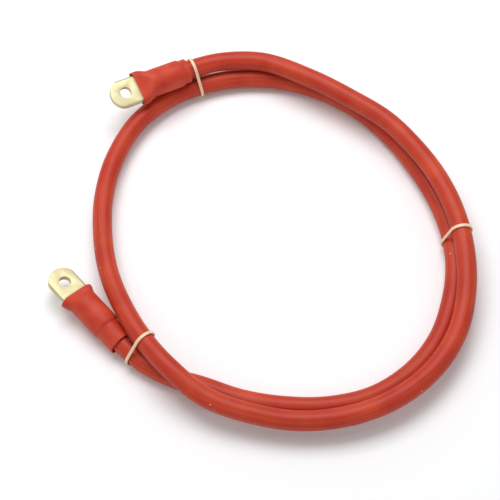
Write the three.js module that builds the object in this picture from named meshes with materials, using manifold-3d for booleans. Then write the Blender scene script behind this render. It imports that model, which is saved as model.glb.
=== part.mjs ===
// Battery cable: one heavy lead in a red jacket, wound in a loose coil that lies on the floor.
// A ring lug is crimped on each end under a shrink sleeve, and three slim cable ties hold
// the coil. Millimetres, +Z up, the floor at z = 0 and the middle of the coil over the origin.

import * as THREE from 'three';
import { mergeVertices } from 'three/addons/utils/BufferGeometryUtils.js';
import Module from 'manifold-3d';

const wasm = await Module();
wasm.setup();

// Clearances between pieces that touch
const JACKET_CLEARANCE = 0.5;
const CONDUCTOR_CLEARANCE = 0.35;
const SLEEVE_CLEARANCE = 0.3;
const TIE_CLEARANCE = 0.6;

// The lead
const CABLE_DIAMETER = 15.5;
const CONDUCTOR_DIAMETER = 11.6;
const JACKET_SIDES = 12;
const STEP_LENGTH = 21;

// The lugs: a copper tube pressed flat into a palm
const LUG_WALL = 2.8;
const BARREL_BORE = CONDUCTOR_DIAMETER + 2 * CONDUCTOR_CLEARANCE;
const BARREL_DIAMETER = BARREL_BORE + 2 * LUG_WALL;
const BARREL_LENGTH = 23;
const BORE_DEPTH = 21;
const CONDUCTOR_SHORT_OF_BOTTOM = 2;
const NECK_LENGTH = 15;
const SPREAD_START = 2;
const SPREAD_LENGTH = 9;
const PALM_WIDTH = 24.5;
const PALM_THICKNESS = 4.6;
const PALM_DROP = 1.4;
const STUD_HOLE_DIAMETER = 9.6;
const NECK_TO_HOLE = 10;
const HOLE_TO_TIP = 13;
const NECK_END = BARREL_LENGTH + NECK_LENGTH;
const LUG_LENGTH = NECK_END + NECK_TO_HOLE + HOLE_TO_TIP;

// The shrink sleeves
const SLEEVE_WALL = 1.1;
const SLEEVE_STEP_LENGTH = 4;
const SLEEVE_STEP_END = 1;

// The cable ties
const TIE_WIDTH = 2.5;
const TIE_THICKNESS = 1.1;
const TIE_HEAD_LENGTH = 4.6;
const TIE_HEAD_WIDTH = 4.4;
const TIE_HEAD_HEIGHT = 3.2;
const TIE_TAIL_LENGTH = 2;

// The middle of the coil, from which the route below is measured. It is chosen so that the
// ties stand on the floor and the whole lead's box is centred over the origin.
const COIL_CENTRE = new THREE.Vector3(17.44, -12.78, 0.96);

// Where each lug lies: the mouth of its barrel, the way it points (degrees from +X, then
// up) and its roll. Then how much of the lead is straight behind it, how much of the lead its
// sleeve covers, and how far from the flat palm the sleeve stops.
const LUG_PLACES = {
  upper: {
    mouth: new THREE.Vector3(-89.4, 158.3, 26.6),
    heading: 210,
    rise: 8,
    roll: -20,
    straight: 14,
    sleeveOnLead: 9,
    sleeveShortOfPalm: 0.3,
  },
  lower: {
    mouth: new THREE.Vector3(-138.2, -68.6, 11.6),
    heading: 133.2,
    rise: 6,
    roll: 12,
    straight: 18,
    sleeveOnLead: 20,
    sleeveShortOfPalm: 4,
  },
};

// The route of the lead between its two straight ends, clockwise from above: degrees about
// the coil's middle, distance from it, and height of the lead's centre
const ROUTE = [
  [107, 182, 22.5],
  [96, 174.5, 23],
  [82, 156, 25.5],
  [68, 145, 25],
  [54, 140.5, 24.5],
  [40, 136.5, 24],
  [26, 135.5, 24],
  [12, 136.5, 24.5],
  [-2, 140, 23.5],
  [-16, 145.5, 21.5],
  [-30, 152, 18.5],
  [-44, 155.5, 18],
  [-58, 156, 18],
  [-72, 153.5, 17],
  [-86, 150, 16],
  [-100, 146.5, 17.5],
  [-114, 145, 20.5],
  [-128, 140.5, 25],
  [-142, 137, 22],
  [-156, 136.5, 19.5],
  [-170, 139.5, 16.5],
  [-184, 144.5, 14],
  [-198, 153, 12.5],
  [-212, 163, 11.5],
  [-226, 172, 11],
  [-240, 175, 9.5],
  [-254, 172.5, 8.5],
  [-268, 166, 8],
  [-282, 156, 9],
  [-296, 147, 8.5],
  [-310, 138.5, 8],
  [-324, 132.5, 8],
  [-338, 131, 8],
  [-352, 132, 8.5],
  [-366, 134.5, 8.5],
  [-380, 137, 8],
  [-394, 141, 8],
  [-408, 143, 8],
  [-422, 142.5, 8],
  [-436, 138.5, 8],
  [-450, 134.5, 8],
  [-464, 133, 8],
  [-478, 134, 8.5],
  [-486, 139, 8.5],
  [-497, 145.5, 8.5],
];

// Degrees about the coil's middle at which a tie holds two strands together
const TIE_ANGLES = { top: 114.8, right: 3.5, left: 219.5 };

// How finely round shapes are cut into flat faces, and how finely the route is searched
const LATHE_SEGMENTS = 32;
const HOLE_SEGMENTS = 32;
const CONDUCTOR_SEGMENTS = 24;
const TIP_SEGMENTS = 24;
const TIE_END_SEGMENTS = 12;
const NECK_STEPS = 8;
const SLEEVE_STEPS = 3;
const ROUTE_DIVISIONS = 4000;

// A turned profile's heights are kept over this radius until it is pressed to its section
const LATHE_DATUM = 40;

// How far a cutting shape reaches past what it cuts
const CUT_MARGIN = 2;

const COLOURS = {
  jacket: 0xc8402c,
  sleeve: 0xc63a30,
  tin: 0xe8e0c4,
  nylon: 0xe8cdb4,
};

// Turns a geometry into a solid that can be joined and cut
function solidOf(geometry) {
  const bare = geometry.clone();
  bare.deleteAttribute('normal');
  bare.deleteAttribute('uv');
  const merged = mergeVertices(bare, 1e-4);
  return new wasm.Manifold(new wasm.Mesh({
    numProp: 3,
    vertProperties: new Float32Array(merged.attributes.position.array),
    triVerts: new Uint32Array(merged.index.array),
  }));
}

// Turns a solid back into a geometry
function geometryOf(solid) {
  const mesh = solid.getMesh();
  const geometry = new THREE.BufferGeometry();
  geometry.setAttribute('position', new THREE.BufferAttribute(mesh.vertProperties, 3));
  geometry.setIndex(new THREE.BufferAttribute(mesh.triVerts, 1));
  geometry.computeVertexNormals();
  return geometry;
}

function radians(degrees) {
  return THREE.MathUtils.degToRad(degrees);
}

// The frame of a lug: +X from the mouth of its barrel to its tip, +Z out of its palm
function lugFrame(place) {
  const turn = radians(place.heading);
  const rise = radians(place.rise);
  const along = new THREE.Vector3(
    Math.cos(rise) * Math.cos(turn),
    Math.cos(rise) * Math.sin(turn),
    Math.sin(rise),
  );
  const across = new THREE.Vector3(0, 0, 1).cross(along).normalize();
  across.applyAxisAngle(along, radians(place.roll));
  const out = along.clone().cross(across);
  const origin = COIL_CENTRE.clone().add(place.mouth);
  return new THREE.Matrix4().makeBasis(along, across, out).setPosition(origin);
}

// A point on a lug's axis, at a distance from the mouth of its barrel
function onAxis(place, distance) {
  return new THREE.Vector3(distance, 0, 0).applyMatrix4(lugFrame(place));
}

// The centre line of the jacketed lead, from one lug to the other
function leadCurve() {
  const { upper, lower } = LUG_PLACES;
  const points = [onAxis(upper, -JACKET_CLEARANCE), onAxis(upper, -upper.straight)];
  for (const [degrees, radius, height] of ROUTE) {
    const angle = radians(degrees);
    const point = new THREE.Vector3(radius * Math.cos(angle), radius * Math.sin(angle), height);
    points.push(point.add(COIL_CENTRE));
  }
  points.push(onAxis(lower, -lower.straight), onAxis(lower, -JACKET_CLEARANCE));
  return new THREE.CatmullRomCurve3(points, false, 'centripetal');
}

const LEAD = leadCurve();
LEAD.arcLengthDivisions = ROUTE_DIVISIONS;

// The lead: its jacket along the route, and its stripped conductor inside each barrel
function leadGeometry() {
  const section = new THREE.Shape();
  for (let side = 0; side < JACKET_SIDES; side += 1) {
    const angle = (side + 0.5) * 2 * Math.PI / JACKET_SIDES;
    const x = CABLE_DIAMETER / 2 * Math.cos(angle);
    const y = CABLE_DIAMETER / 2 * Math.sin(angle);
    if (side === 0) section.moveTo(x, y);
    else section.lineTo(x, y);
  }
  section.closePath();
  let lead = solidOf(new THREE.ExtrudeGeometry(section, {
    steps: Math.round(LEAD.getLength() / STEP_LENGTH),
    bevelEnabled: false,
    extrudePath: LEAD,
  }));
  const reach = BORE_DEPTH - CONDUCTOR_SHORT_OF_BOTTOM;
  const root = CABLE_DIAMETER / 2;
  for (const place of Object.values(LUG_PLACES)) {
    const radius = CONDUCTOR_DIAMETER / 2;
    const end = new THREE.CylinderGeometry(radius, radius, reach + root, CONDUCTOR_SEGMENTS);
    end.rotateZ(-Math.PI / 2);
    end.translate((reach - root) / 2, 0, 0);
    end.applyMatrix4(lugFrame(place));
    lead = lead.add(solidOf(end));
  }
  return geometryOf(lead);
}

// Half the width and half the thickness of a lug's outside at a distance from its mouth. The
// neck reaches its full width well before it is pressed down to the palm's thickness.
function lugSection(distance) {
  const pressed = THREE.MathUtils.smoothstep(distance, BARREL_LENGTH, NECK_END);
  const spreadStart = BARREL_LENGTH + SPREAD_START;
  const spread = THREE.MathUtils.smoothstep(distance, spreadStart, spreadStart + SPREAD_LENGTH);
  return {
    halfWidth: THREE.MathUtils.lerp(BARREL_DIAMETER, PALM_WIDTH, spread) / 2,
    halfThickness: THREE.MathUtils.lerp(BARREL_DIAMETER, PALM_THICKNESS, pressed) / 2,
    drop: PALM_DROP * pressed,
  };
}

// What a sleeve is shrunk on: the lug, and in front of its mouth the lead
function sleeveSeat(distance) {
  if (distance > 0) return lugSection(distance);
  const t = THREE.MathUtils.smoothstep(distance, -SLEEVE_STEP_LENGTH, -SLEEVE_STEP_END);
  const radius = THREE.MathUtils.lerp(CABLE_DIAMETER, BARREL_DIAMETER, t) / 2;
  return { halfWidth: radius, halfThickness: radius, drop: 0 };
}

// Turns a profile about X and presses it to a section that changes along X. The profile
// holds distances along X and heights over the section's own outside.
function pressedTurning(profile, seat) {
  const points = profile.map(([along, height]) => new THREE.Vector2(
    height === null ? 0 : LATHE_DATUM + height,
    along,
  ));
  const halfSegment = Math.PI / LATHE_SEGMENTS;
  const geometry = new THREE.LatheGeometry(points, LATHE_SEGMENTS, halfSegment);
  const position = geometry.attributes.position;
  for (let i = 0; i < position.count; i += 1) {
    const along = position.getY(i);
    const radius = Math.hypot(position.getX(i), position.getZ(i));
    const angle = Math.atan2(position.getZ(i), position.getX(i));
    const { halfWidth, halfThickness, drop } = seat(along);
    if (radius < LATHE_DATUM / 2) {
      position.setXYZ(i, along, 0, -drop);
      continue;
    }
    const round = halfThickness + radius - LATHE_DATUM;
    const flat = halfWidth - halfThickness;
    const side = Math.sign(Math.cos(angle));
    position.setXYZ(i, along, side * flat + round * Math.cos(angle), round * Math.sin(angle) - drop);
  }
  return facingOut(geometry);
}

// A closed geometry whose faces point out, whichever way they did before
function facingOut(geometry) {
  const bare = geometry.clone();
  bare.deleteAttribute('normal');
  bare.deleteAttribute('uv');
  const merged = mergeVertices(bare, 1e-4);
  const index = merged.index.array;
  const kept = [];
  let volume = 0;
  const corners = [new THREE.Vector3(), new THREE.Vector3(), new THREE.Vector3()];
  for (let i = 0; i < index.length; i += 3) {
    const [a, b, c] = index.subarray(i, i + 3);
    if (a === b || b === c || c === a) continue;
    kept.push(a, b, c);
    corners[0].fromBufferAttribute(merged.attributes.position, a);
    corners[1].fromBufferAttribute(merged.attributes.position, b);
    corners[2].fromBufferAttribute(merged.attributes.position, c);
    volume += corners[0].dot(corners[1].clone().cross(corners[2])) / 6;
  }
  if (volume < 0) {
    for (let i = 0; i < kept.length; i += 3) {
      [kept[i], kept[i + 1]] = [kept[i + 1], kept[i]];
    }
  }
  merged.setIndex(kept);
  merged.computeVertexNormals();
  return merged;
}

// A ring lug: round barrel with a blind bore, neck, and flat palm with a stud hole
function lugGeometry() {
  const beyond = LUG_LENGTH + CUT_MARGIN;
  const bore = (BARREL_BORE - BARREL_DIAMETER) / 2;
  const profile = [[beyond, null], [beyond, 0]];
  for (let step = NECK_STEPS; step >= 0; step -= 1) {
    profile.push([BARREL_LENGTH + NECK_LENGTH * step / NECK_STEPS, 0]);
  }
  profile.push([0, 0], [0, bore], [BORE_DEPTH, bore], [BORE_DEPTH, null]);
  const blank = solidOf(pressedTurning(profile, lugSection));

  const outline = new THREE.Shape();
  const tipRadius = PALM_WIDTH / 2;
  const tipCentre = LUG_LENGTH - tipRadius;
  const clear = PALM_WIDTH / 2 + CUT_MARGIN;
  outline.moveTo(-CUT_MARGIN, -clear);
  outline.lineTo(tipCentre, -clear);
  outline.lineTo(tipCentre, -tipRadius);
  outline.absarc(tipCentre, 0, tipRadius, -Math.PI / 2, Math.PI / 2, false);
  outline.lineTo(tipCentre, clear);
  outline.lineTo(-CUT_MARGIN, clear);
  outline.closePath();
  const height = 2 * BARREL_DIAMETER;
  const plan = new THREE.ExtrudeGeometry(outline, {
    depth: height,
    bevelEnabled: false,
    curveSegments: TIP_SEGMENTS,
  });
  plan.translate(0, 0, -height / 2);

  const hole = new THREE.CylinderGeometry(
    STUD_HOLE_DIAMETER / 2,
    STUD_HOLE_DIAMETER / 2,
    height,
    HOLE_SEGMENTS,
  );
  hole.rotateX(Math.PI / 2);
  hole.translate(NECK_END + NECK_TO_HOLE, 0, 0);
  return geometryOf(blank.intersect(solidOf(plan)).subtract(solidOf(hole)));
}

// A shrink sleeve: a thin skin over the end of the lead, the barrel and the neck
function sleeveGeometry(place) {
  const stations = [-place.sleeveOnLead, -SLEEVE_STEP_LENGTH];
  for (let step = 1; step <= SLEEVE_STEPS; step += 1) {
    stations.push(-SLEEVE_STEP_LENGTH + (SLEEVE_STEP_LENGTH - SLEEVE_STEP_END) * step / SLEEVE_STEPS);
  }
  const onNeck = NECK_LENGTH - place.sleeveShortOfPalm;
  for (let step = 0; step <= NECK_STEPS; step += 1) {
    stations.push(BARREL_LENGTH + onNeck * step / NECK_STEPS);
  }
  const inside = stations.map((along) => [along, SLEEVE_CLEARANCE]);
  const outside = stations.map((along) => [along, SLEEVE_CLEARANCE + SLEEVE_WALL]);
  const profile = [...outside, ...inside.reverse(), outside[0]];
  return pressedTurning(profile, sleeveSeat);
}

// The two points and directions at which the lead passes an angle about the coil's middle
function passesAt(degrees) {
  const passes = [];
  const wanted = radians(degrees);
  const offAngle = (point) => {
    const local = point.clone().sub(COIL_CENTRE);
    return Math.atan2(
      local.y * Math.cos(wanted) - local.x * Math.sin(wanted),
      local.x * Math.cos(wanted) + local.y * Math.sin(wanted),
    );
  };
  let before = offAngle(LEAD.getPoint(0));
  for (let i = 1; i <= ROUTE_DIVISIONS; i += 1) {
    const now = offAngle(LEAD.getPoint(i / ROUTE_DIVISIONS));
    if (Math.abs(now) < 0.5 && before * now <= 0) {
      const t = (i - 0.5) / ROUTE_DIVISIONS;
      passes.push({ centre: LEAD.getPoint(t), direction: LEAD.getTangent(t) });
    }
    before = now;
  }
  return passes.sort((a, b) => a.centre.z - b.centre.z);
}

// A closed outline around two equal circles that stand side by side on X
function hullPath(path, spacing, radius) {
  path.moveTo(-spacing / 2, -radius);
  path.lineTo(spacing / 2, -radius);
  path.absarc(spacing / 2, 0, radius, -Math.PI / 2, Math.PI / 2, false);
  path.lineTo(-spacing / 2, radius);
  path.absarc(-spacing / 2, 0, radius, Math.PI / 2, 3 * Math.PI / 2, false);
  path.closePath();
  return path;
}

// The frame of a tie: +X from the lower strand to the upper one, +Z along both, and +Y
// out of the band on the side that faces up
function tieFrame(low, high) {
  const across = high.centre.clone().sub(low.centre).normalize();
  const along = low.direction.clone().add(high.direction);
  along.addScaledVector(across, -along.dot(across)).normalize();
  const out = along.clone().cross(across);
  if (out.z < 0) {
    out.negate();
    along.negate();
  }
  const middle = low.centre.clone().lerp(high.centre, 0.5);
  return new THREE.Matrix4().makeBasis(across, out, along).setPosition(middle);
}

// A cable tie around the two strands that pass at an angle, its head under the upper one
function tieGeometry(low, high) {
  const spacing = low.centre.distanceTo(high.centre);
  const slant = low.direction.angleTo(high.direction) / 2;
  const slantRoom = CABLE_DIAMETER / 2 * (1 / Math.cos(slant) - 1) + TIE_WIDTH / 2 * Math.tan(slant);
  const inside = CABLE_DIAMETER / 2 + TIE_CLEARANCE + slantRoom;
  const outside = inside + TIE_THICKNESS;
  const outline = hullPath(new THREE.Shape(), spacing, outside);
  outline.holes.push(hullPath(new THREE.Path(), spacing, inside));
  const band = new THREE.ExtrudeGeometry(outline, {
    depth: TIE_WIDTH,
    bevelEnabled: false,
    curveSegments: TIE_END_SEGMENTS,
  });
  band.translate(0, 0, -TIE_WIDTH / 2);
  const sunk = TIE_THICKNESS / 2;
  const head = new THREE.BoxGeometry(TIE_HEAD_LENGTH, TIE_HEAD_HEIGHT + sunk, TIE_HEAD_WIDTH);
  head.translate(0, -outside - (TIE_HEAD_HEIGHT - sunk) / 2, 0);
  const tail = new THREE.BoxGeometry(TIE_THICKNESS, TIE_TAIL_LENGTH + sunk, TIE_WIDTH);
  tail.translate(0, -outside - TIE_HEAD_HEIGHT - (TIE_TAIL_LENGTH - sunk) / 2, 0);
  return geometryOf(solidOf(band).add(solidOf(head)).add(solidOf(tail)));
}

function finish(colour, roughness, metalness) {
  return new THREE.MeshStandardMaterial({ color: colour, roughness, metalness });
}

// A named mesh, placed by a frame where it has one
function piece(name, geometry, material, frame) {
  const mesh = new THREE.Mesh(geometry, material);
  mesh.name = name;
  if (frame) frame.decompose(mesh.position, mesh.quaternion, mesh.scale);
  return mesh;
}

const batteryCable = new THREE.Group();
batteryCable.name = 'battery_cable';
batteryCable.add(piece('cable', leadGeometry(), finish(COLOURS.jacket, 0.5, 0)));

for (const [name, place] of Object.entries(LUG_PLACES)) {
  const end = new THREE.Group();
  lugFrame(place).decompose(end.position, end.quaternion, end.scale);
  end.add(piece(`ring_lug_${name}`, lugGeometry(), finish(COLOURS.tin, 0.38, 1)));
  end.add(piece(`shrink_sleeve_${name}`, sleeveGeometry(place), finish(COLOURS.sleeve, 0.55, 0)));
  batteryCable.add(end);
}

for (const [name, degrees] of Object.entries(TIE_ANGLES)) {
  const [low, high] = passesAt(degrees);
  const tie = tieGeometry(low, high);
  const nylon = finish(COLOURS.nylon, 0.45, 0);
  batteryCable.add(piece(`cable_tie_${name}`, tie, nylon, tieFrame(low, high)));
}

export default batteryCable;
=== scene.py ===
"""Battery cable: a red jacketed lead wound in a loose coil, a tinned ring lug under a
shrink sleeve at each end, and three nylon ties. Everything is in metres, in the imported
frame, with the coil lying on the floor at z = 0."""

import logging
import math
from bisect import bisect_right
from dataclasses import dataclass
from enum import Enum
from typing import Callable, Optional, Sequence

import bmesh
import bpy
from mathutils import Matrix, Quaternion, Vector


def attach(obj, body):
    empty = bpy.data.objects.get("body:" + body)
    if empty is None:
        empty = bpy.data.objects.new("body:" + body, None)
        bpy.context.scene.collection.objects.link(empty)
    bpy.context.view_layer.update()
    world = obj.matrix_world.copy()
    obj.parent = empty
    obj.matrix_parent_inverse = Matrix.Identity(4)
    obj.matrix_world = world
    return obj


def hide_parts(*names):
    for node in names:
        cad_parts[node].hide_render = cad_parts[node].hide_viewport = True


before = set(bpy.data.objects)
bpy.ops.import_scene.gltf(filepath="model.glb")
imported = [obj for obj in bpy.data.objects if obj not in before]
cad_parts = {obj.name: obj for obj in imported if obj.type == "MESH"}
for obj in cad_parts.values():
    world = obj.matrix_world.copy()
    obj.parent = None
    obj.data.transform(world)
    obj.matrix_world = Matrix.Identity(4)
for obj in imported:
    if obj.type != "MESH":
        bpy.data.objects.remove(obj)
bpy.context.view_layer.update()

LOG = logging.getLogger("battery_cable")
MM = 0.001
BODY = "root"

# The jacket's outside diameter, which the sleeves and the ties fit
LEAD_DIAMETER = 15.5 * MM

# Places nearer to each other than this count as one place
SAME_PLACE = 0.01 * MM

# The middle of the coil, from which the route and the lugs are placed, in millimetres
COIL_CENTRE_MM = (17.44, -12.78, 0.96)

# The ties, each with its angle about the coil's middle in degrees
TIE_ANGLES = {"top": 114.8, "right": 3.5, "left": 219.5}

# The numbers of a Mix node's two colour inputs, and of its colour output
FIRST_COLOUR = 6
SECOND_COLOUR = 7
MIXED_COLOUR = 2

# The route of the lead between its straight ends: degrees about the coil's middle,
# distance from it and height of the lead's centre, in millimetres, as in the CAD
ROUTE = (
    (107, 182, 22.5),
    (96, 174.5, 23),
    (82, 156, 25.5),
    (68, 145, 25),
    (54, 140.5, 24.5),
    (40, 136.5, 24),
    (26, 135.5, 24),
    (12, 136.5, 24.5),
    (-2, 140, 23.5),
    (-16, 145.5, 21.5),
    (-30, 152, 18.5),
    (-44, 155.5, 18),
    (-58, 156, 18),
    (-72, 153.5, 17),
    (-86, 150, 16),
    (-100, 146.5, 17.5),
    (-114, 145, 20.5),
    (-128, 140.5, 25),
    (-142, 137, 22),
    (-156, 136.5, 19.5),
    (-170, 139.5, 16.5),
    (-184, 144.5, 14),
    (-198, 153, 12.5),
    (-212, 163, 11.5),
    (-226, 172, 11),
    (-240, 175, 9.5),
    (-254, 172.5, 8.5),
    (-268, 166, 8),
    (-282, 156, 9),
    (-296, 147, 8.5),
    (-310, 138.5, 8),
    (-324, 132.5, 8),
    (-338, 131, 8),
    (-352, 132, 8.5),
    (-366, 134.5, 8.5),
    (-380, 137, 8),
    (-394, 141, 8),
    (-408, 143, 8),
    (-422, 142.5, 8),
    (-436, 138.5, 8),
    (-450, 134.5, 8),
    (-464, 133, 8),
    (-478, 134, 8.5),
    (-486, 139, 8.5),
    (-497, 145.5, 8.5),
)


class End(Enum):
    """The two ends of the lead, named for the strand that each ends."""

    UPPER = "upper"
    LOWER = "lower"


class Slot(Enum):
    """The record's material slots."""

    JACKET = "jacket"
    SLEEVE = "shrink_sleeve"
    TIN = "tinned_copper"
    NYLON = "nylon"


def coil_centre() -> Vector:
    """The middle of the coil in metres."""
    return Vector(COIL_CENTRE_MM) * MM


def linear(hex_colour: str) -> tuple[float, float, float, float]:
    """Turns an sRGB hex value into linear light.

    Args:
        hex_colour: six hex digits.

    Returns:
        Red, green, blue and an alpha of 1.
    """
    channels = []
    for start in (0, 2, 4):
        value = int(hex_colour[start:start + 2], 16) / 255
        low = value <= 0.04045
        channels.append(value / 12.92 if low else ((value + 0.055) / 1.055) ** 2.4)
    return (*channels, 1.0)


def smoothstep(value: float, low: float, high: float) -> float:
    """Eases from 0 at low to 1 at high."""
    t = min(max((value - low) / (high - low), 0.0), 1.0)
    return t * t * (3 - 2 * t)


def mix(a: float, b: float, t: float) -> float:
    """The value a share t of the way from a to b."""
    return a + (b - a) * t


def steps(start: float, end: float, count: int) -> list[float]:
    """Evenly spaced values after start, up to and with end."""
    return [start + (end - start) * i / count for i in range(1, count + 1)]


def new_material(name: str) -> tuple[bpy.types.Material, bpy.types.Node]:
    """Starts a material.

    Args:
        name: what the real finish is.

    Returns:
        The material and its shader.
    """
    made = bpy.data.materials.new(name)
    made.use_nodes = True
    return made, made.node_tree.nodes["Principled BSDF"]


def node(tree: bpy.types.NodeTree, kind: str, values: Optional[dict] = None,
         feeds: Optional[dict] = None) -> bpy.types.Node:
    """Adds a node, sets its properties and sockets, and links its inputs.

    Args:
        tree: the node tree.
        kind: the node's type name.
        values: property names, input names or input numbers, with their values.
        feeds: input names or numbers, with the output socket that feeds each.

    Returns:
        The new node.
    """
    made = tree.nodes.new(kind)
    for key, value in (values or {}).items():
        if isinstance(key, str) and hasattr(made, key):
            setattr(made, key, value)
        else:
            made.inputs[key].default_value = value
    for key, source in (feeds or {}).items():
        tree.links.new(source, made.inputs[key])
    return made


def limits(side: str, pair: tuple[float, float]) -> dict[str, float]:
    """The settings of one side, From or To, of a node that maps a range."""
    return {f"{side} Min": pair[0], f"{side} Max": pair[1]}


@dataclass(frozen=True)
class Relief:
    """How strongly a pattern shows as relief, and how high that stands, in metres."""

    strength: float
    height: float

    def settings(self) -> dict[str, float]:
        """The relief as the settings of a bump node."""
        return {"Strength": self.strength, "Distance": self.height}


def two_tones(tree: bpy.types.NodeTree, pattern: bpy.types.Node,
              contrast: tuple[float, float], colours: tuple[str, str]) -> bpy.types.NodeSocket:
    """Colours a surface in two tones that change with a pattern.

    Args:
        tree: the node tree.
        pattern: the noise that tells them apart.
        contrast: up to which value the first is pure, and from which the second is.
        colours: the two tones, as sRGB hex values.

    Returns:
        The output with the colour.
    """
    share = node(tree, "ShaderNodeMapRange", limits("From", contrast),
                 {"Value": pattern.outputs["Fac"]})
    first, second = (linear(colour) for colour in colours)
    tones = {"data_type": "RGBA", FIRST_COLOUR: first, SECOND_COLOUR: second}
    mixed = node(tree, "ShaderNodeMix", tones, {"Factor": share.outputs["Result"]})
    return mixed.outputs[MIXED_COLOUR]


def texture(tree: bpy.types.NodeTree, shader: bpy.types.Node, pattern: bpy.types.Node,
            roughness: tuple[float, float], relief: Relief) -> bpy.types.Node:
    """Lets a pattern show in a surface's gloss and relief.

    Args:
        tree: the node tree.
        shader: the material's shader.
        pattern: the noise that makes the texture.
        roughness: the roughness at its lowest and its highest values.
        relief: how it stands out.

    Returns:
        The bump node that feeds the shader.
    """
    polish = node(tree, "ShaderNodeMapRange", limits("To", roughness),
                  {"Value": pattern.outputs["Fac"]})
    tree.links.new(polish.outputs["Result"], shader.inputs["Roughness"])
    bump = node(tree, "ShaderNodeBump", relief.settings(), {"Height": pattern.outputs["Fac"]})
    tree.links.new(bump.outputs["Normal"], shader.inputs["Normal"])
    return bump


def deselect() -> None:
    """Leaves nothing selected, so that an operator acts on what follows alone."""
    if bpy.context.object and bpy.context.object.mode != "OBJECT":
        bpy.ops.object.mode_set(mode="OBJECT")
    bpy.ops.object.select_all(action="DESELECT")


def take(piece: bpy.types.Object) -> None:
    """Selects one piece alone and makes it active.

    Args:
        piece: the object that the next operator acts on.
    """
    deselect()
    piece.select_set(True)
    bpy.context.view_layer.objects.active = piece


def select_where(piece: bpy.types.Object, wanted: Callable[[Vector], bool]) -> None:
    """Selects, in edit mode, the vertices whose place passes a test.

    Args:
        piece: the object in edit mode.
        wanted: the test of a vertex's place.
    """
    mesh = bmesh.from_edit_mesh(piece.data)
    for vertex in mesh.verts:
        vertex.select = wanted(vertex.co)
    mesh.select_flush_mode()
    bmesh.update_edit_mesh(piece.data)


def add_block(size: Sequence[float], centre: Sequence[float]) -> bpy.types.Object:
    """Adds a block of a size about a centre.

    Args:
        size: its lengths along X, Y and Z.
        centre: its middle.

    Returns:
        The block, with its place in its mesh.
    """
    deselect()
    bpy.ops.mesh.primitive_cube_add(size=1, location=centre)
    block = bpy.context.object
    block.scale = size
    bpy.ops.object.transform_apply(location=True, rotation=True, scale=True)
    return block


def add_cylinder(radius: float, depth: float, centre: Sequence[float],
                 sides: int) -> bpy.types.Object:
    """Adds an upright cylinder about a centre.

    Args:
        radius: its radius.
        depth: its height along Z.
        centre: its middle.
        sides: how many sides it has.

    Returns:
        The cylinder, with its place in its mesh.
    """
    deselect()
    bpy.ops.mesh.primitive_cylinder_add(
        vertices=sides, radius=radius, depth=depth, location=centre
    )
    bpy.ops.object.transform_apply(location=True, rotation=True, scale=True)
    return bpy.context.object


def apply_modifier(piece: bpy.types.Object, kind: str, **settings: object) -> None:
    """Adds a modifier with its settings and applies it.

    Args:
        piece: the object.
        kind: the modifier's type name.
        settings: the modifier's properties, with their values.
    """
    take(piece)
    modifier = piece.modifiers.new(kind.lower(), kind)
    for key, value in settings.items():
        setattr(modifier, key, value)
    bpy.ops.object.modifier_apply(modifier=modifier.name)


def cut_with(piece: bpy.types.Object, tool: bpy.types.Object, how: str) -> None:
    """Joins or cuts a piece with a tool and deletes the tool."""
    apply_modifier(piece, "BOOLEAN", operation=how, object=tool, solver="EXACT")
    bpy.data.objects.remove(tool, do_unlink=True)


def ease_edges(piece: bpy.types.Object, radius: float, segments: int,
               sharper_than: float) -> None:
    """Rounds the sharp edges of a piece.

    Args:
        piece: the object.
        radius: how far the rounding reaches from each edge.
        segments: how many faces it has.
        sharper_than: the least angle of an edge that is rounded, in degrees.
    """
    apply_modifier(
        piece,
        "BEVEL",
        width=radius,
        segments=segments,
        limit_method="ANGLE",
        angle_limit=math.radians(sharper_than),
    )


def smooth(piece: bpy.types.Object, angle: float) -> None:
    """Shades a piece smooth, but for its edges past an angle in degrees."""
    take(piece)
    bpy.ops.object.shade_smooth_by_angle(angle=math.radians(angle))


def put(piece: bpy.types.Object, place: Matrix) -> None:
    """Moves a piece's mesh to its place, and leaves its object at the origin."""
    piece.data.transform(place)
    piece.data.update()


def hand_over(piece: bpy.types.Object, name: str, cad_node: str,
              finish: bpy.types.Material) -> bpy.types.Object:
    """Names and dresses a finished piece, and puts it on the body in place of its CAD node, which
    it hides.

    Args:
        piece: the finished object.
        name: the piece's name.
        cad_node: the node that the piece stands for.
        finish: its material.

    Returns:
        The piece.
    """
    piece.name = name
    piece.data.name = name
    piece.data.materials.clear()
    piece.data.materials.append(finish)
    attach(piece, BODY)
    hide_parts(cad_node)
    LOG.info("%s: %d faces", name, len(piece.data.polygons))
    return piece


@dataclass(frozen=True)
class LugPlace:
    """Where a lug lies: the mouth of its barrel in millimetres from the coil's middle,
    its heading and rise in degrees and its roll. Then, in metres, how much of the lead
    behind it is straight, how much of the lead its sleeve covers, how far from the flat palm
    the sleeve stops, and how far the middle of the sleeve's edge bulges towards the palm."""

    mouth: tuple[float, float, float]
    heading: float
    rise: float
    roll: float
    straight: float
    sleeve_on_lead: float
    sleeve_short_of_palm: float
    edge_bow: float

    def matrix(self) -> Matrix:
        """The lug's frame.

        Returns:
            A matrix with +X from the lug's mouth to its tip and +Z out of its palm.
        """
        turn = math.radians(self.heading)
        rise = math.radians(self.rise)
        flat = math.cos(rise)
        along = Vector((flat * math.cos(turn), flat * math.sin(turn), math.sin(rise)))
        across = Vector((0, 0, 1)).cross(along).normalized()
        across.rotate(Quaternion(along, math.radians(self.roll)))
        out = along.cross(across)
        origin = coil_centre() + Vector(self.mouth) * MM
        columns = Matrix((along, across, out)).transposed().to_4x4()
        return Matrix.Translation(origin) @ columns

    def on_axis(self, distance: float) -> Vector:
        """The point on the lug's axis at a distance from its mouth."""
        return self.matrix() @ Vector((distance, 0, 0))


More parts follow.
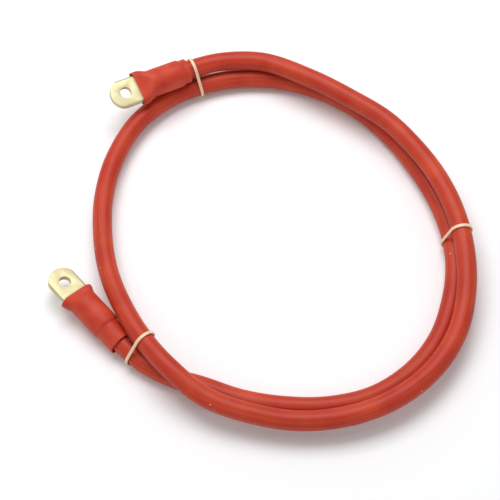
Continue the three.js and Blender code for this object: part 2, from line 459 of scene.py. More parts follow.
PLACES = {
    End.UPPER: LugPlace(
        mouth=(-89.4, 158.3, 26.6),
        heading=210,
        rise=8,
        roll=-20,
        straight=14 * MM,
        sleeve_on_lead=9 * MM,
        sleeve_short_of_palm=0.3 * MM,
        edge_bow=-2.2 * MM,
    ),
    End.LOWER: LugPlace(
        mouth=(-138.2, -68.6, 11.6),
        heading=133.2,
        rise=6,
        roll=12,
        straight=18 * MM,
        sleeve_on_lead=20 * MM,
        sleeve_short_of_palm=4 * MM,
        edge_bow=0.8 * MM,
    ),
}


@dataclass(frozen=True)
class Station:
    """A point of the lead's centre line, its direction and its distance along it."""

    centre: Vector
    direction: Vector
    distance: float


@dataclass
class Route:
    """The centre line of the lead, from the upper lug to the lower one."""

    clearance: float = 0.5 * MM
    steps_per_span: int = 40

    def knots(self) -> list[Vector]:
        """The points that the lead passes through.

        Returns:
            The points in metres, with two on the axis of each lug.
        """
        upper, lower = PLACES[End.UPPER], PLACES[End.LOWER]
        points = [upper.on_axis(-self.clearance), upper.on_axis(-upper.straight)]
        for degrees, radius, height in ROUTE:
            angle = math.radians(degrees)
            local = Vector((radius * math.cos(angle), radius * math.sin(angle), height))
            points.append(coil_centre() + local * MM)
        points.append(lower.on_axis(-lower.straight))
        points.append(lower.on_axis(-self.clearance))
        return points

    def curve(self) -> list[Vector]:
        """A smooth curve through the knots, whose pace goes with the square root of the
        distance between them, so that it makes no loop where they are close.

        Returns:
            Fine points along the curve.
        """
        knots = self.knots()
        first = knots[0] * 2 - knots[1]
        last = knots[-1] * 2 - knots[-2]
        padded = [first, *knots, last]
        points = []
        for p0, p1, p2, p3 in zip(padded, padded[1:], padded[2:], padded[3:]):
            d0, d1, d2 = (math.sqrt((b - a).length) for a, b in ((p0, p1), (p1, p2), (p2, p3)))
            start = ((p1 - p0) / d0 - (p2 - p0) / (d0 + d1) + (p2 - p1) / d1) * d1
            end = ((p2 - p1) / d1 - (p3 - p1) / (d1 + d2) + (p3 - p2) / d2) * d1
            for step in range(self.steps_per_span):
                t = step / self.steps_per_span
                points.append(
                    p1 * (2 * t ** 3 - 3 * t ** 2 + 1)
                    + start * (t ** 3 - 2 * t ** 2 + t)
                    + p2 * (3 * t ** 2 - 2 * t ** 3)
                    + end * (t ** 3 - t ** 2)
                )
        points.append(knots[-1])
        return points

    def stations(self, spacing: float) -> list[Station]:
        """Points at an even spacing along the curve.

        Args:
            spacing: the wanted distance between two points, in metres.

        Returns:
            The stations, from the upper lug to the lower one.
        """
        fine = self.curve()
        reached = [0.0]
        for a, b in zip(fine, fine[1:]):
            reached.append(reached[-1] + (b - a).length)
        total = reached[-1]
        count = round(total / spacing)
        found = []
        for i in range(count + 1):
            distance = total * i / count
            index = min(bisect_right(reached, distance), len(fine) - 1)
            low = reached[index - 1]
            share = (distance - low) / (reached[index] - low)
            centre = fine[index - 1].lerp(fine[index], share)
            before = fine[max(index - 2, 0)]
            after = fine[min(index + 1, len(fine) - 1)]
            found.append(Station(centre, (after - before).normalized(), distance))
        return found


@dataclass(frozen=True)
class PvcJacket:
    """Plasticised PVC, extruded: a satin skin with faint lines from the die, a little
    cloudy in colour, with a few pale specks from handling. Along the lines its colour is
    streaked lighter and darker: partly the die's lines, partly painted highlight."""

    colour: str = "b12d17"
    cloudy: str = "c04020"
    scuff: str = "d98a70"
    roughness: tuple[float, float] = (0.39, 0.54)
    ior: float = 1.45
    specular: float = 0.36

    # A die's lines are a few tenths of a millimetre apart, and are drawn wider to show
    line_spacing: float = 1.2 * MM
    line_run: float = 60 * MM
    line_contrast: tuple[float, float] = (0.3, 0.75)
    # How far the lines darken and lighten the colour: partly die lines, partly painted highlight
    # streaks
    die_line_and_highlight_shades: tuple[float, float] = (0.76, 1.2)
    line_relief: Relief = Relief(0.35, 0.12 * MM)

    cloud_size: float = 30 * MM
    cloud_contrast: tuple[float, float] = (0.35, 0.7)
    grain_size: float = 0.35 * MM
    grain_relief: Relief = Relief(0.15, 0.05 * MM)

    # One cell in ten has a speck, whose solid core and faded rim are shares of the spacing
    speck_spacing: float = 7.7 * MM
    speck_share: float = 0.1
    speck_core_and_rim: tuple[float, float] = (0.07, 0.12)

    def build(self) -> bpy.types.Material:
        """Makes the material. It reads the lead's own attribute: its surface as it
        was extruded, straight, with the distance along it as z.

        Returns:
            The material.
        """
        made, shader = new_material("extruded_red_pvc")
        tree = made.node_tree
        shader.inputs["IOR"].default_value = self.ior
        shader.inputs["Specular IOR Level"].default_value = self.specular
        straight = node(tree, "ShaderNodeAttribute", {"attribute_name": "straight"})
        place = straight.outputs["Vector"]
        stretch = self.line_spacing / self.line_run
        drawn = node(tree, "ShaderNodeMapping", {"Scale": (1, 1, stretch)}, {"Vector": place})
        lines = node(tree, "ShaderNodeTexNoise",
                     {"Scale": 1 / self.line_spacing, "Detail": 3.0, "Roughness": 0.6},
                     {"Vector": drawn.outputs["Vector"]})
        clouds = node(tree, "ShaderNodeTexNoise",
                      {"Scale": 1 / self.cloud_size, "Detail": 4.0}, {"Vector": place})
        grain = node(tree, "ShaderNodeTexNoise",
                     {"Scale": 1 / self.grain_size, "Detail": 2.0}, {"Vector": place})
        body = two_tones(tree, clouds, self.cloud_contrast, (self.colour, self.cloudy))
        # Streaks of lighter and darker colour along the lead: partly die lines, partly painted
        # highlight
        shades = limits("From", self.line_contrast) | limits("To", self.die_line_and_highlight_shades)
        die_line_and_highlight_streak = node(tree, "ShaderNodeMapRange", shades, {"Value": lines.outputs["Fac"]})
        die_lined_and_highlighted_body = node(tree, "ShaderNodeVectorMath", {"operation": "SCALE"},
                        {0: body, "Scale": die_line_and_highlight_streak.outputs["Result"]})
        speck = self.specks(tree, place)
        worn = node(tree, "ShaderNodeMix",
                    {"data_type": "RGBA", SECOND_COLOUR: linear(self.scuff)},
                    {"Factor": speck, FIRST_COLOUR: die_lined_and_highlighted_body.outputs[0]})
        tree.links.new(worn.outputs[MIXED_COLOUR], shader.inputs["Base Color"])
        ridges = texture(tree, shader, lines, self.roughness, self.line_relief)
        pores = node(tree, "ShaderNodeBump", self.grain_relief.settings(),
                     {"Height": grain.outputs["Fac"], "Normal": ridges.outputs["Normal"]})
        tree.links.new(pores.outputs["Normal"], shader.inputs["Normal"])
        return made

    def specks(self, tree: bpy.types.NodeTree,
               place: bpy.types.NodeSocket) -> bpy.types.NodeSocket:
        """Adds the nodes that say where a pale speck lies.

        Args:
            tree: the material's node tree.
            place: the output that gives the place on the jacket.

        Returns:
            An output that is 1 inside a speck and 0 outside.
        """
        cells = node(tree, "ShaderNodeTexVoronoi", {"Scale": 1 / self.speck_spacing},
                     {"Vector": place})
        fade = limits("From", self.speck_core_and_rim) | limits("To", (1.0, 0.0))
        near = node(tree, "ShaderNodeMapRange", fade, {"Value": cells.outputs["Distance"]})
        pick = node(tree, "ShaderNodeSeparateColor", {}, {"Color": cells.outputs["Color"]})
        few = node(tree, "ShaderNodeMath", {"operation": "LESS_THAN", 1: self.speck_share},
                   {0: pick.outputs[0]})
        speck = node(tree, "ShaderNodeMath", {"operation": "MULTIPLY"},
                     {0: near.outputs["Result"], 1: few.outputs[0]})
        return speck.outputs[0]


@dataclass(frozen=True)
class ShrunkPolyolefin:
    """Polyolefin tubing, shrunk with hot air: duller and a deeper red than the jacket,
    with a soft orange-peel surface."""

    colour: str = "b22e1a"
    cloudy: str = "c4432a"
    roughness: tuple[float, float] = (0.44, 0.58)
    ior: float = 1.5
    specular: float = 0.3
    peel_size: float = 1.6 * MM
    peel_relief: Relief = Relief(0.3, 0.15 * MM)
    cloud_size: float = 14 * MM
    cloud_contrast: tuple[float, float] = (0.35, 0.68)

    def build(self) -> bpy.types.Material:
        """Makes the material, on Object coordinates.

        Returns:
            The material.
        """
        made, shader = new_material("shrunk_red_polyolefin")
        tree = made.node_tree
        shader.inputs["IOR"].default_value = self.ior
        shader.inputs["Specular IOR Level"].default_value = self.specular
        place = node(tree, "ShaderNodeTexCoord").outputs["Object"]
        clouds = node(tree, "ShaderNodeTexNoise",
                      {"Scale": 1 / self.cloud_size, "Detail": 3.0}, {"Vector": place})
        peel = node(tree, "ShaderNodeTexNoise",
                    {"Scale": 1 / self.peel_size, "Detail": 2.0}, {"Vector": place})
        body = two_tones(tree, clouds, self.cloud_contrast, (self.colour, self.cloudy))
        tree.links.new(body, shader.inputs["Base Color"])
        texture(tree, shader, peel, self.roughness, self.peel_relief)
        return made


@dataclass(frozen=True)
class TinPlate:
    """Copper, dipped or plated with tin: a warm silver-white metal with a satin grain
    and a slightly duller bloom."""

    colour: str = "cfc7a2"
    dull: str = "c5bd97"
    roughness: tuple[float, float] = (0.46, 0.7)

    # The grain of the tin is finer than this, and is drawn coarser to show
    grain_size: float = 0.5 * MM
    grain_relief: Relief = Relief(0.35, 0.06 * MM)
    bloom_size: float = 6 * MM
    bloom_contrast: tuple[float, float] = (0.38, 0.66)

    def build(self) -> bpy.types.Material:
        """Makes the material, on Object coordinates.

        Returns:
            The material.
        """
        made, shader = new_material("tin_plated_copper")
        tree = made.node_tree
        shader.inputs["Metallic"].default_value = 1.0
        place = node(tree, "ShaderNodeTexCoord").outputs["Object"]
        bloom = node(tree, "ShaderNodeTexNoise",
                     {"Scale": 1 / self.bloom_size, "Detail": 5.0}, {"Vector": place})
        grain = node(tree, "ShaderNodeTexNoise",
                     {"Scale": 1 / self.grain_size, "Detail": 4.0, "Roughness": 0.7},
                     {"Vector": place})
        body = two_tones(tree, bloom, self.bloom_contrast, (self.colour, self.dull))
        tree.links.new(body, shader.inputs["Base Color"])
        texture(tree, shader, grain, self.roughness, self.grain_relief)
        return made


@dataclass(frozen=True)
class NaturalNylon:
    """Nylon 6/6, moulded without dye: milky and a little see-through, so that what lies
    under it shows as a warm tint."""

    colour: str = "f6d8b6"
    roughness: tuple[float, float] = (0.32, 0.5)
    ior: float = 1.53
    transmission: float = 0.15
    grain_size: float = 0.8 * MM
    grain_shades: tuple[float, float] = (0.88, 1.0)
    grain_relief: Relief = Relief(0.2, 0.05 * MM)

    def build(self) -> bpy.types.Material:
        """Makes the material, on Object coordinates.

        Returns:
            The material.
        """
        made, shader = new_material("natural_nylon")
        tree = made.node_tree
        shader.inputs["IOR"].default_value = self.ior
        shader.inputs["Transmission Weight"].default_value = self.transmission
        place = node(tree, "ShaderNodeTexCoord").outputs["Object"]
        grain = node(tree, "ShaderNodeTexNoise",
                     {"Scale": 1 / self.grain_size, "Detail": 3.0}, {"Vector": place})
        shade = node(tree, "ShaderNodeMapRange", limits("To", self.grain_shades),
                     {"Value": grain.outputs["Fac"]})
        milky = node(tree, "ShaderNodeVectorMath",
                     {"operation": "SCALE", 0: linear(self.colour)[:3]},
                     {"Scale": shade.outputs["Result"]})
        tree.links.new(milky.outputs[0], shader.inputs["Base Color"])
        texture(tree, shader, grain, self.roughness, self.grain_relief)
        return made


@dataclass
class Lead:
    """The jacketed lead, with its stripped conductor reaching into each barrel."""

    finish: bpy.types.Material
    route: Route
    conductor_diameter: float = 11.6 * MM
    conductor_reach: float = 19 * MM
    ring_spacing: float = 2.4 * MM
    sides: int = 48
    smooth_to: float = 40

    def build(self, on_it: list[bpy.types.Object]) -> bpy.types.Object:
        """Args:
            on_it: the separate pieces on the far end of the lead. Not used.

        Returns:
            The lead.
        """
        stations = self.route.stations(self.ring_spacing)
        rings = self.conductor_end(stations[0], -1)
        rings += [(station, LEAD_DIAMETER / 2) for station in stations]
        rings += self.conductor_end(stations[-1], 1)
        piece = self.tube(rings)
        hand_over(piece, "jacketed_lead", "cable", self.finish)
        path = [rings[0][0].centre]
        path += [station.centre for station in stations]
        path.append(rings[-1][0].centre)
        return piece

    def conductor_end(self, mouth: Station, way: int) -> list[tuple[Station, float]]:
        """The rings of the bare conductor past one end of the jacket.

        Args:
            mouth: the jacket's last station.
            way: 1 past the end of the route, -1 before its start.

        Returns:
            Stations and radii, in the order of the route.
        """
        radius = self.conductor_diameter / 2
        rings = []
        for reach in (0, self.conductor_reach):
            centre = mouth.centre + mouth.direction * reach * way
            rings.append((Station(centre, mouth.direction, mouth.distance + reach * way), radius))
        return rings if way > 0 else rings[::-1]

    def tube(self, rings: list[tuple[Station, float]]) -> bpy.types.Object:
        """Makes a closed tube, with its straightened surface as an attribute.

        Args:
            rings: a station and a radius for each ring, in order.

        Returns:
            The tube.
        """
        mesh = bmesh.new()
        straight = mesh.verts.layers.float_vector.new("straight")
        direction = rings[0][0].direction
        normal = direction.orthogonal().normalized()
        loops = []
        for station, radius in rings:
            normal.rotate(direction.rotation_difference(station.direction))
            direction = station.direction
            across = direction.cross(normal)
            loop = []
            for side in range(self.sides):
                angle = 2 * math.pi * side / self.sides
                offset = (normal * math.cos(angle) + across * math.sin(angle)) * radius
                vertex = mesh.verts.new(station.centre + offset)
                unrolled = (radius * math.cos(angle), radius * math.sin(angle), station.distance)
                vertex[straight] = unrolled
                loop.append(vertex)
            loops.append(loop)
        for low, high in zip(loops, loops[1:]):
            for side in range(self.sides):
                other = (side + 1) % self.sides
                mesh.faces.new((low[side], low[other], high[other], high[side]))
        mesh.faces.new(loops[0][::-1])
        mesh.faces.new(loops[-1])
        data = bpy.data.meshes.new("jacketed_lead")
        mesh.to_mesh(data)
        mesh.free()
        piece = bpy.data.objects.new("jacketed_lead", data)
        bpy.context.scene.collection.objects.link(piece)
        smooth(piece, self.smooth_to)
        return piece


@dataclass(frozen=True)
class Section:
    """Half the width and half the thickness of a section, and how far it is dropped."""

    half_width: float
    half_thickness: float
    drop: float


@dataclass(frozen=True)
class LugForm:
    """The sizes of a lug: a copper tube with one end pressed into a flat palm."""

    barrel_bore: float = 12.3 * MM
    barrel_diameter: float = 17.9 * MM
    barrel_length: float = 23 * MM
    bore_depth: float = 21 * MM
    neck_length: float = 15 * MM
    spread_start: float = 2 * MM
    spread_length: float = 9 * MM
    palm_width: float = 24.5 * MM
    palm_thickness: float = 4.6 * MM
    palm_drop: float = 1.4 * MM
    neck_to_hole: float = 10 * MM
    hole_diameter: float = 9.6 * MM
    hole_to_tip: float = 13 * MM

    @property
    def neck_end(self) -> float:
        """Where the neck ends and the flat palm starts."""
        return self.barrel_length + self.neck_length

    @property
    def length(self) -> float:
        """From the mouth of the barrel to the tip of the palm."""
        return self.neck_end + self.neck_to_hole + self.hole_to_tip

    def section(self, distance: float) -> Section:
        """The lug's outside. The neck reaches its full width well before it is pressed
        down to the palm's thickness.

        Args:
            distance: how far the section is from the mouth of the barrel.

        Returns:
            The section.
        """
        pressed = smoothstep(distance, self.barrel_length, self.neck_end)
        start = self.barrel_length + self.spread_start
        spread_out = smoothstep(distance, start, start + self.spread_length)
        return Section(
            mix(self.barrel_diameter, self.palm_width, spread_out) / 2,
            mix(self.barrel_diameter, self.palm_thickness, pressed) / 2,
            self.palm_drop * pressed,
        )


FORM = LugForm()


def pressed_tube(stations: Sequence[float], section: Callable[[float], Section],
                 sides: int) -> bpy.types.Object:
    """Draws an open tube along X ring by ring, pressing each ring to its section.

    Args:
        stations: distances along X, in order.
        section: gives the section at a distance.
        sides: how many sides a ring has.

    Returns:
        The tube as an object with open ends.
    """
    deselect()
    first = section(stations[0])
    bpy.ops.mesh.primitive_circle_add(
        vertices=sides,
        radius=first.half_thickness,
        location=(0, 0, 0),
        rotation=(0, math.pi / 2, 0),
    )
    piece = bpy.context.object
    bpy.ops.object.transform_apply(location=True, rotation=True, scale=True)
    half_step = Matrix.Rotation(math.pi / sides, 4, "X")
    put(piece, Matrix.Translation((stations[0], 0, -first.drop)) @ half_step)
    bpy.ops.object.mode_set(mode="EDIT")
    bpy.ops.mesh.select_all(action="SELECT")
    spread(piece, stations[0], first.half_width - first.half_thickness)
    before, last = stations[0], first
    for distance in stations[1:]:
        now = section(distance)
        bpy.ops.mesh.extrude_region_move(
            TRANSFORM_OT_translate={"value": (distance - before, 0, last.drop - now.drop)}
        )
        spread(piece, distance, last.half_thickness - last.half_width)
        size = now.half_thickness / last.half_thickness
        centre = (distance, 0, -now.drop)
        bpy.ops.transform.resize(value=(1, size, size), center_override=centre)
        spread(piece, distance, now.half_width - now.half_thickness)
        before, last = distance, now
    bpy.ops.object.mode_set(mode="OBJECT")
    return piece


def spread(piece: bpy.types.Object, distance: float, amount: float) -> None:
    """Moves the two halves of a ring apart along Y, and leaves the ring selected.

    Args:
        piece: the tube in edit mode.
        distance: where the ring is along X.
        amount: how far each half moves from the middle, less than 0 to close them.
    """
    for side in (-1, 1):
        select_where(piece, lambda co: abs(co.x - distance) < SAME_PLACE and co.y * side > 0)
        bpy.ops.transform.translate(value=(0, side * amount, 0))
    select_where(piece, lambda co: abs(co.x - distance) < SAME_PLACE)


@dataclass
class RingLug:
    """A tinned copper ring lug on one end of the lead."""

    end: End
    finish: bpy.types.Material
    sides: int = 64
    tip_sides: int = 128
    hole_sides: int = 96
    neck_steps: int = 10
    edge_radius: float = 0.35 * MM
    edge_segments: int = 3
    edge_angle: float = 50
    seam_width: float = 0.16 * MM
    seam_depth: float = 0.5 * MM
    smooth_to: float = 30

    # How far the blank and the cutting tools reach past the finished lug
    spare: float = 2 * MM

    def build(self) -> bpy.types.Object:
        """Draws the tube, presses it, trims the palm, drills it and eases its edges.

        Returns:
            The lug.
        """
        piece = self.blank()
        cut_with(piece, self.plan(), "INTERSECT")
        cut_with(piece, self.drill(), "DIFFERENCE")
        ease_edges(piece, self.edge_radius, self.edge_segments, self.edge_angle)
        cut_with(piece, self.seam(), "DIFFERENCE")
        smooth(piece, self.smooth_to)
        put(piece, PLACES[self.end].matrix())
        name = f"{self.end.value}_ring_lug"
        return hand_over(piece, name, f"ring_lug_{self.end.value}", self.finish)

    def blank(self) -> bpy.types.Object:
        """The pressed tube with its blind bore, before its palm is trimmed.

        Returns:
            A closed piece that is longer than the lug.
        """
        stations = [0, FORM.barrel_length]
        stations += steps(FORM.barrel_length, FORM.neck_end, self.neck_steps)
        stations.append(FORM.length + self.spare)
        piece = pressed_tube(stations, FORM.section, self.sides)
        take(piece)
        bpy.ops.object.mode_set(mode="EDIT")
        select_where(piece, lambda co: co.x > stations[-1] - SAME_PLACE)
        bpy.ops.mesh.edge_face_add()
        select_where(piece, lambda co: co.x < SAME_PLACE)
        bore = FORM.barrel_bore / FORM.barrel_diameter
        bpy.ops.mesh.extrude_region_move()
        bpy.ops.transform.resize(value=(1, bore, bore), center_override=(0, 0, 0))
        bpy.ops.mesh.extrude_region_move(
            TRANSFORM_OT_translate={"value": (FORM.bore_depth, 0, 0)}
        )
        bpy.ops.mesh.edge_face_add()
        bpy.ops.mesh.select_all(action="SELECT")
        bpy.ops.mesh.normals_make_consistent(inside=False)
        bpy.ops.object.mode_set(mode="OBJECT")
        return piece

    def plan(self) -> bpy.types.Object:
        """The lug's outline from above, with a half circle at the palm's end.

        Returns:
            A tall block that keeps what is inside it.
        """
        height = 2 * FORM.barrel_diameter
        tip = FORM.palm_width / 2
        centre = FORM.length - tip
        start = -self.spare
        piece = add_cylinder(tip, height, (centre, 0, 0), self.tip_sides)
        size = (centre - start, FORM.palm_width + 2 * self.spare, height)
        cut_with(piece, add_block(size, ((start + centre) / 2, 0, 0)), "UNION")
        return piece

    def drill(self) -> bpy.types.Object:
        """The stud hole as a cutting tool."""
        centre = (FORM.neck_end + FORM.neck_to_hole, 0, 0)
        return add_cylinder(FORM.hole_diameter / 2, 2 * FORM.barrel_diameter, centre,
                            self.hole_sides)

    def seam(self) -> bpy.types.Object:
        """The line round the palm's tip where the two walls of the tube meet.

        Returns:
            A thin half ring that cuts in from the trimmed edge.
        """
        tip = FORM.palm_width / 2
        centre = (FORM.length - tip, 0, -FORM.palm_drop)
        thick = self.spare / 2
        ring = add_cylinder(tip + self.spare / 2, self.seam_width, centre, self.tip_sides)
        core = add_cylinder(tip - self.seam_depth, thick, centre, self.tip_sides)
        cut_with(ring, core, "DIFFERENCE")
        size = (2 * tip + 2 * self.spare, 3 * tip, thick)
        block = add_block(size, (centre[0] - tip, 0, centre[2]))
        cut_with(ring, block, "DIFFERENCE")
        return ring


@dataclass
class ShrinkSleeve:
    """A shrink sleeve over the end of the lead, the barrel and the neck. Its shoulder is
    where it steps up from the lead to the barrel, and starts and ends at those distances
    behind the barrel's mouth."""

    end: End
    finish: bpy.types.Material
    clearance: float = 0.3 * MM
    wall: float = 1.1 * MM
    shoulder_start: float = 4 * MM
    shoulder_end: float = 1 * MM
    sides: int = 64
    rings_on_lead: int = 6
    rings_on_shoulder: int = 6
    rings_on_barrel: int = 10
    rings_on_neck: int = 16
    edge_radius: float = 0.3 * MM
    edge_segments: int = 3
    edge_angle: float = 60
    smooth_to: float = 50

    def seat(self, distance: float) -> Section:
        """The sleeve's outside: what it is shrunk on, the clearance and the wall.

        Args:
            distance: how far the section is from the mouth of the barrel.

        Returns:
            The section.
        """
        grown = self.clearance + self.wall
        if distance > 0:
            below = FORM.section(distance)
            return Section(below.half_width + grown, below.half_thickness + grown, below.drop)
        t = smoothstep(distance, -self.shoulder_start, -self.shoulder_end)
        radius = mix(LEAD_DIAMETER, FORM.barrel_diameter, t) / 2 + grown
        return Section(radius, radius, 0)

    def build(self) -> bpy.types.Object:
        """Draws the skin ring by ring, bows its palm edge and gives it its wall.

        Returns:
            The sleeve.
        """
        place = PLACES[self.end]
        start = -place.sleeve_on_lead
        stop = FORM.neck_end - place.sleeve_short_of_palm
        stations = [start]
        stations += steps(start, -self.shoulder_start, self.rings_on_lead)
        stations += steps(-self.shoulder_start, -self.shoulder_end, self.rings_on_shoulder)
        stations += steps(-self.shoulder_end, FORM.barrel_length, self.rings_on_barrel)
        stations += steps(FORM.barrel_length, stop, self.rings_on_neck)
        piece = pressed_tube(stations, self.seat, self.sides)
        self.bow_edge(piece, stop, place.edge_bow)
        apply_modifier(piece, "SOLIDIFY", thickness=self.wall, offset=-1.0)
        ease_edges(piece, self.edge_radius, self.edge_segments, self.edge_angle)
        smooth(piece, self.smooth_to)
        put(piece, place.matrix())
        name = f"{self.end.value}_shrink_sleeve"
        node_name = f"shrink_sleeve_{self.end.value}"
        return hand_over(piece, name, node_name, self.finish)

    def bow_edge(self, piece: bpy.types.Object, stop: float, bow: float) -> None:
        """Slides the skin along the neck, most at its edge and on the middle of the palm,
        and fits it to what is under its new place.

        Args:
            piece: the open skin.
            stop: where its palm edge is.
            bow: how far the middle of that edge moves towards the palm.
        """
        half_width = FORM.palm_width / 2 + self.clearance + self.wall
        for vertex in piece.data.vertices:
            old_place = vertex.co.x
            share = smoothstep(old_place, FORM.barrel_length, stop)
            side = vertex.co.y / half_width
            new_place = old_place + bow * (1 - side * side) * share
            old_seat, new_seat = self.seat(old_place), self.seat(new_place)
            thinner = new_seat.half_thickness / old_seat.half_thickness
            vertex.co.x = new_place
            vertex.co.z = (vertex.co.z + old_seat.drop) * thinner - new_seat.drop


@dataclass
class CableTie:
    """A slim tie that holds two strands together: a band, and a head with its tail."""

    name: str
    degrees: float
    finish: bpy.types.Material
    clearance: float = 0.25 * MM
    width: float = 2.5 * MM
    thickness: float = 1.1 * MM
    head: tuple[float, float, float] = (4.6 * MM, 3.2 * MM, 4.4 * MM)
    slot_rim: float = 0.8 * MM
    slot_depth: float = 0.9 * MM
    tail_length: float = 2 * MM
    tail_sunk: float = 1.4 * MM
    sides: int = 64
    band_edge: float = 0.25 * MM
    head_edge: float = 0.35 * MM
    tail_edge: float = 0.15 * MM
    edge_segments: int = 2
    edge_angle: float = 60
    smooth_to: float = 35

    # In radians: past this a strand is on the far side of the coil
    same_side: float = 0.5

    def strands(self, stations: list[Station]) -> tuple[Station, Station]:
        """Finds the two strands that the tie goes round.

        Args:
            stations: fine points along the lead.

        Returns:
            The lower strand and the upper one, where they pass the tie's angle.
        """
        wanted = math.radians(self.degrees)
        middle = coil_centre()

        def off(station: Station) -> float:
            """How far a station is from the tie's angle, in radians."""
            local = station.centre - middle
            return math.atan2(
                local.y * math.cos(wanted) - local.x * math.sin(wanted),
                local.x * math.cos(wanted) + local.y * math.sin(wanted),
            )

        passes = []
        for before, after in zip(stations, stations[1:]):
            if abs(off(after)) < self.same_side and off(before) * off(after) <= 0:
                passes.append(after)
        low, high = sorted(passes, key=lambda station: station.centre.z)[:2]
        return low, high

    def matrix(self, low: Station, high: Station) -> Matrix:
        """The tie's frame.

        Args:
            low: the lower strand.
            high: the upper strand.

        Returns:
            A matrix with +X from the lower strand to the upper one and +Z along both.
        """
        across = (high.centre - low.centre).normalized()
        along = low.direction + high.direction
        along = (along - across * along.dot(across)).normalized()
        out = along.cross(across)
        if out.z < 0:
            out.negate()
            along.negate()
        columns = Matrix((across, out, along)).transposed().to_4x4()
        return Matrix.Translation(low.centre.lerp(high.centre, 0.5)) @ columns

    def build(self, stations: list[Station]) -> bpy.types.Object:
        """Makes the band round the two strands, and joins the head and the tail to it.

        Args:
            stations: fine points along the lead.

        Returns:
            The tie.
        """
        low, high = self.strands(stations)
        spacing = (high.centre - low.centre).length
        slant = low.direction.angle(high.direction) / 2
        room = LEAD_DIAMETER / 2 * (1 / math.cos(slant) - 1)
        room += self.width / 2 * math.tan(slant)
        inside = LEAD_DIAMETER / 2 + self.clearance + room
        piece = self.band(spacing, inside)
        outside = inside + self.thickness
        cut_with(piece, self.block(outside), "UNION")
        cut_with(piece, self.tail(outside), "UNION")
        smooth(piece, self.smooth_to)
        put(piece, self.matrix(low, high))
        name = f"{self.name}_cable_tie"
        return hand_over(piece, name, f"cable_tie_{self.name}", self.finish)

    def band(self, spacing: float, inside: float) -> bpy.types.Object:
        """A flat band with rounded edges, in a loop with round ends.

        Args:
            spacing: how far apart the middles of the two strands are.
            inside: the inside radius of the round ends.

        Returns:
            The band, flat in X and Y.
        """
        deselect()
        bpy.ops.mesh.primitive_circle_add(vertices=self.sides, radius=inside)
        piece = bpy.context.object
        put(piece, Matrix.Rotation(math.pi / self.sides, 4, "Z"))
        bpy.ops.object.mode_set(mode="EDIT")
        for side in (-1, 1):
            select_where(piece, lambda co: co.x * side > 0)
            bpy.ops.transform.translate(value=(side * spacing / 2, 0, 0))
        bpy.ops.mesh.select_all(action="SELECT")
        bpy.ops.transform.translate(value=(0, 0, -self.width / 2))
        bpy.ops.mesh.extrude_region_move(
            TRANSFORM_OT_translate={"value": (0, 0, self.width)}
        )
        bpy.ops.mesh.select_all(action="SELECT")
        bpy.ops.mesh.normals_make_consistent(inside=False)
        bpy.ops.object.mode_set(mode="OBJECT")
        apply_modifier(piece, "SOLIDIFY", thickness=self.thickness, offset=1.0)
        ease_edges(piece, self.band_edge, self.edge_segments, self.edge_angle)
        return piece

    def block(self, outside: float) -> bpy.types.Object:
        """The head, with eased edges and a slot for the tail.

        Args:
            outside: how far the outside of the band is from its middle line.

        Returns:
            The head, sunk into the band by half the band's thickness.
        """
        length, height, width = self.head
        sunk = self.thickness / 2
        piece = add_block(
            (length, height + sunk, width), (0, -outside - (height - sunk) / 2, 0)
        )
        bpy.ops.object.mode_set(mode="EDIT")
        floor = -outside - height + SAME_PLACE
        select_where(piece, lambda co: co.y < floor)
        bpy.ops.mesh.inset(thickness=self.slot_rim)
        bpy.ops.mesh.extrude_region_move(
            TRANSFORM_OT_translate={"value": (0, self.slot_depth, 0)}
        )
        bpy.ops.object.mode_set(mode="OBJECT")
        ease_edges(piece, self.head_edge, self.edge_segments, self.edge_angle)
        return piece

    def tail(self, outside: float) -> bpy.types.Object:
        """The cut end of the band, standing out of the head.

        Args:
            outside: how far the outside of the band is from its middle line.

        Returns:
            The tail, with its root inside the head.
        """
        height = self.head[1]
        piece = add_block(
            (self.thickness, self.tail_length + self.tail_sunk, self.width),
            (0, -outside - height - (self.tail_length - self.tail_sunk) / 2, 0),
        )
        ease_edges(piece, self.tail_edge, self.edge_segments, self.edge_angle)
        return piece


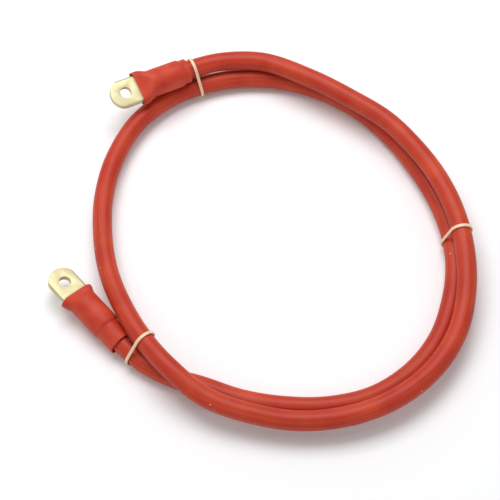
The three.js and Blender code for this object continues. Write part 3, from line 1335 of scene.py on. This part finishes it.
@dataclass
class Studio:
    """The floor, the lights and the camera at the photograph's angle. The camera looks
    at the coil's middle from a distance, and the aim leaves that middle so many of the
    photograph's pixels right of and above the middle of the frame."""

    elevation: float = 60.0
    distance: float = 1.2
    target_height: float = 15.5 * MM
    pixels_per_tangent: float = 1524.8
    photo_width: float = 500.0
    target_right: float = 34.6
    target_up: float = 4.6
    sensor: float = 36.0
    floor_size: float = 12
    floor_colour: str = "f2f3f5"
    floor_roughness: float = 0.9
    floor_specular: float = 0.1
    lamp_size: tuple[float, float] = (1.1, 0.7)
    lamp_power: float = 13.5
    lamp_place: tuple[float, float, float] = (-0.15, 0.45, 1.25)
    room_colour: str = "f6f6f4"
    room_strength: float = 0.67

    def build(self) -> None:
        """Sets up the camera, the floor, the lights and plain colours."""
        self.camera()
        self.floor()
        self.lights()
        bpy.context.scene.view_settings.view_transform = "Standard"

    def camera(self) -> None:
        """A long lens from the front, 60 degrees up, aimed so that the coil sits in the
        frame where the photograph has it."""
        data = bpy.data.cameras.new("camera")
        data.sensor_width = self.sensor
        data.lens = self.pixels_per_tangent / self.photo_width * self.sensor
        camera = bpy.data.objects.new("camera", data)
        bpy.context.scene.collection.objects.link(camera)
        rise = math.radians(self.elevation)
        back = Vector((0, -math.cos(rise), math.sin(rise)))
        target = coil_centre() + Vector((0, 0, self.target_height))
        camera.location = target + back * self.distance
        right = Vector((1, 0, 0))
        up = Vector((0, math.sin(rise), math.cos(rise)))
        backward = back + right * (self.target_right / self.pixels_per_tangent)
        backward += up * (self.target_up / self.pixels_per_tangent)
        backward.normalize()
        across = (right - backward * right.dot(backward)).normalized()
        above = backward.cross(across)
        camera.rotation_euler = Matrix((across, above, backward)).transposed().to_euler()
        bpy.context.scene.camera = camera

    def floor(self) -> None:
        """A plain pale floor that runs out of sight."""
        deselect()
        bpy.ops.mesh.primitive_plane_add(size=self.floor_size, location=(0, 0, 0))
        floor = bpy.context.object
        floor.name = "floor"
        made, shader = new_material("pale_floor")
        shader.inputs["Base Color"].default_value = linear(self.floor_colour)
        shader.inputs["Roughness"].default_value = self.floor_roughness
        shader.inputs["Specular IOR Level"].default_value = self.floor_specular
        floor.data.materials.append(made)

    def lights(self) -> None:
        """A broad soft box overhead and a little behind, and a pale room around it."""
        key = bpy.data.lights.new("soft_box", "AREA")
        key.shape = "RECTANGLE"
        key.size, key.size_y = self.lamp_size
        key.energy = self.lamp_power
        lamp = bpy.data.objects.new("soft_box", key)
        lamp.location = self.lamp_place
        lamp.rotation_euler = (-lamp.location).to_track_quat("-Z", "Y").to_euler()
        bpy.context.scene.collection.objects.link(lamp)
        world = bpy.data.worlds.new("pale_room")
        world.use_nodes = True
        backdrop = world.node_tree.nodes["Background"]
        backdrop.inputs["Color"].default_value = linear(self.room_colour)
        backdrop.inputs["Strength"].default_value = self.room_strength
        bpy.context.scene.world = world


def main() -> None:
    """Builds the studio, then the lugs, the sleeves, the lead and the ties."""
    logging.basicConfig(level=logging.INFO)
    Studio().build()
    route = Route()
    jacket = PvcJacket().build()
    polyolefin = ShrunkPolyolefin().build()
    tin = TinPlate().build()
    nylon = NaturalNylon().build()
    ends = {end: [RingLug(end, tin).build(), ShrinkSleeve(end, polyolefin).build()] for end in End}
    Lead(jacket, route).build(ends[End.LOWER])
    fine_spacing = 0.5 * MM
    stations = route.stations(fine_spacing)
    for name, degrees in TIE_ANGLES.items():
        CableTie(name, degrees, nylon).build(stations)


if __name__ == "__main__":
    main()
